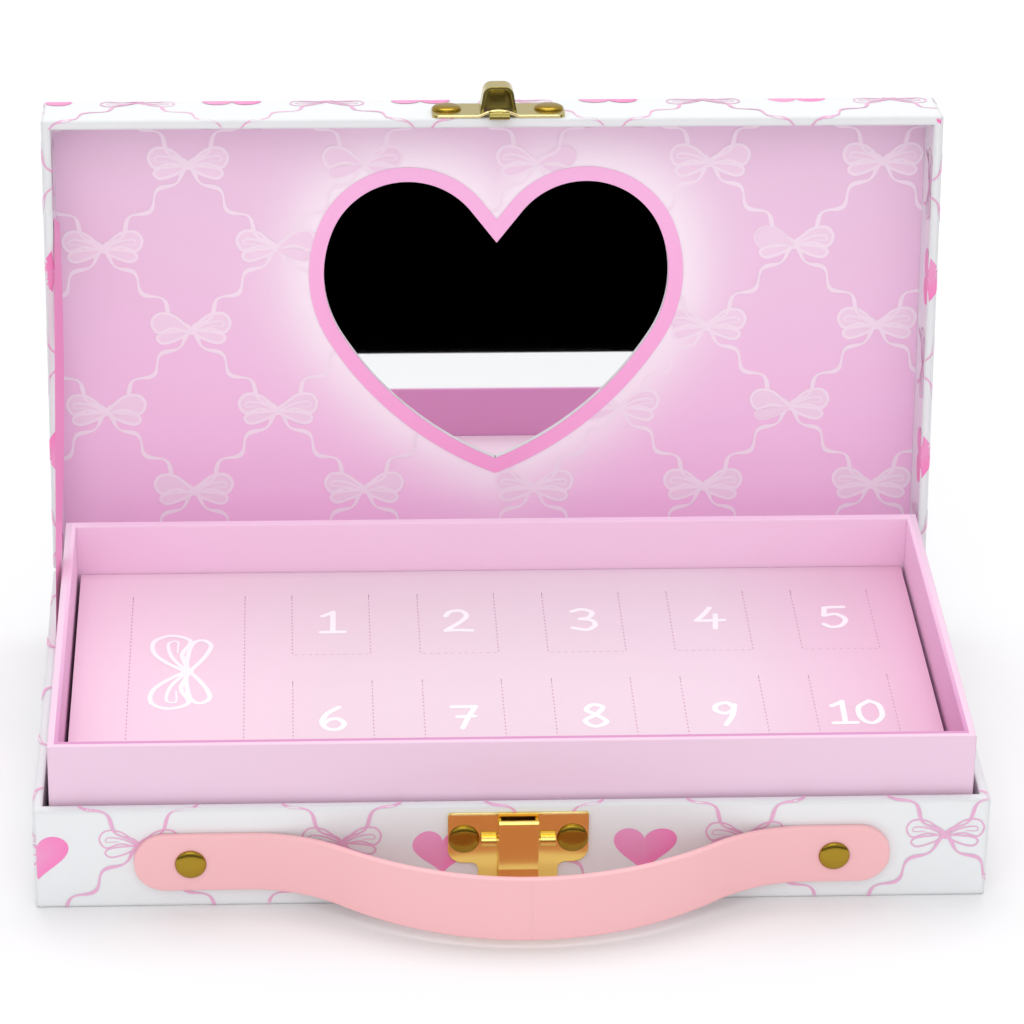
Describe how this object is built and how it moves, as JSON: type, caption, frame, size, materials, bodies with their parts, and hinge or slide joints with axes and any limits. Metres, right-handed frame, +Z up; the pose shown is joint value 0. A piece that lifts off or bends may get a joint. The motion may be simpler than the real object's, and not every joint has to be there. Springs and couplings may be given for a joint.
{
  "type": "jewellery box",
  "caption": "Paper-covered suitcase-style jewellery box with strap handle, sprung latch, heart mirror in its ribbon-stayed lid, and a lift-out insert of numbered doors.",
  "frame": {"origin": "middle of the underside of the base", "axes": "+X to the right along the box's width, +Y from the latch towards the hinge, +Z up"},
  "size_m": [0.245, 0.1883, 0.1648],
  "materials": {
    "greyboard": "grey board, wrapped in paper on every face that shows",
    "printed_paper": "white coated paper printed with pink ribbon trellis and hearts",
    "plain_paper": "white uncoated paper",
    "pink_paper": "pink satin-coated paper",
    "lining_card": "pink card printed with a pale bow lattice and a heart border",
    "core_card": "white-backed box card",
    "mirror": "silvered plastic sheet",
    "ribbon": "satin ribbon",
    "door_card": "pale pink card with white printed numbers",
    "brass": "bright polished brass plate",
    "spring_steel": "thin spring strip",
    "strap": "smooth salmon-pink coated strap, cut edges"
  },
  "bodies": {
    "base": {"base_board": "greyboard", "base_wrap": "printed_paper", "base_bottom_sheet": "plain_paper", "hinge_leaf_base": "plain_paper", "tray_board": "greyboard", "tray_wrap": "pink_paper", "stay_ribbon": "ribbon", "latch_plate": "brass", "latch_pin": "brass", "latch_spring": "spring_steel", "base_rivets": "brass", "handle_tab_left": "strap", "handle_tab_right": "strap"},
    "lid": {"lid_board": "greyboard", "lid_wrap": "printed_paper", "lid_lining": "lining_card", "mirror_spacer": "core_card", "heart_mirror": "mirror", "hinge_leaf_lid": "plain_paper", "strike_plate": "brass", "strike_rivets": "brass"},
    "insert": {"insert_card": "door_card", "insert_tray": "core_card", "long_partition": "core_card", "cross_partition_1": "core_card", "cross_partition_2": "core_card", "cross_partition_3": "core_card", "cross_partition_4": "core_card", "cross_partition_5": "core_card"},
    "latch_lever": {"latch_lever": "brass"},
    "handle": {"handle_bow": "strap"},
    "door_1": {"door_1": "door_card"},
    "door_2": {"door_2": "door_card"},
    "door_3": {"door_3": "door_card"},
    "door_4": {"door_4": "door_card"},
    "door_5": {"door_5": "door_card"},
    "door_6": {"door_6": "door_card"},
    "door_7": {"door_7": "door_card"},
    "door_8": {"door_8": "door_card"},
    "door_9": {"door_9": "door_card"},
    "door_10": {"door_10": "door_card"},
    "side_door": {"side_door": "door_card"}
  },
  "joints": [
    {"name": "lid_hinge", "type": "hinge", "parent": "base", "child": "lid", "pos_m": [0, 0.0645, 0.02915], "axis": [-1, 0, 0], "range_deg": [-97.8, 0], "deforming": ["stay_ribbon"]},
    {"name": "insert_lift", "type": "slide", "parent": "base", "child": "insert", "axis": [0, 0, 1], "range_m": [0, 0.06]},
    {"name": "latch_press", "type": "hinge", "parent": "base", "child": "latch_lever", "pos_m": [0.0012, -0.0662, 0.0195], "axis": [1, 0, 0], "range_deg": [0, 10], "stiffness_Nm_per_rad": 0.003, "springref_deg": -5.73, "deforming": ["latch_spring"]},
    {"name": "handle_lift", "type": "hinge", "parent": "base", "child": "handle", "pos_m": [0.0039, -0.0656, 0.014], "axis": [-1, 0, 0], "range_deg": [0, 20]},
    {"name": "side_door_crease", "type": "hinge", "parent": "insert", "child": "side_door", "pos_m": [-0.0843, 0.0449, 0.03035], "axis": [-1, 0, 0], "range_deg": [0, 110]},
    {"name": "door_1_crease", "type": "hinge", "parent": "insert", "child": "door_1", "pos_m": [-0.0455, 0.0449, 0.03035], "axis": [-1, 0, 0], "range_deg": [0, 110]},
    {"name": "door_2_crease", "type": "hinge", "parent": "insert", "child": "door_2", "pos_m": [-0.011, 0.0449, 0.03035], "axis": [-1, 0, 0], "range_deg": [0, 110]},
    {"name": "door_3_crease", "type": "hinge", "parent": "insert", "child": "door_3", "pos_m": [0.0235, 0.0449, 0.03035], "axis": [-1, 0, 0], "range_deg": [0, 110]},
    {"name": "door_4_crease", "type": "hinge", "parent": "insert", "child": "door_4", "pos_m": [0.058, 0.0449, 0.03035], "axis": [-1, 0, 0], "range_deg": [0, 110]},
    {"name": "door_5_crease", "type": "hinge", "parent": "insert", "child": "door_5", "pos_m": [0.0925, 0.0449, 0.03035], "axis": [-1, 0, 0], "range_deg": [0, 110]},
    {"name": "door_6_crease", "type": "hinge", "parent": "insert", "child": "door_6", "pos_m": [-0.0455, -0.00274, 0.03035], "axis": [-1, 0, 0], "range_deg": [0, 110]},
    {"name": "door_7_crease", "type": "hinge", "parent": "insert", "child": "door_7", "pos_m": [-0.011, -0.00274, 0.03035], "axis": [-1, 0, 0], "range_deg": [0, 110]},
    {"name": "door_8_crease", "type": "hinge", "parent": "insert", "child": "door_8", "pos_m": [0.0235, -0.00274, 0.03035], "axis": [-1, 0, 0], "range_deg": [0, 110]},
    {"name": "door_9_crease", "type": "hinge", "parent": "insert", "child": "door_9", "pos_m": [0.058, -0.00274, 0.03035], "axis": [-1, 0, 0], "range_deg": [0, 110]},
    {"name": "door_10_crease", "type": "hinge", "parent": "insert", "child": "door_10", "pos_m": [0.0925, -0.00274, 0.03035], "axis": [-1, 0, 0], "range_deg": [0, 110]}
  ]
}
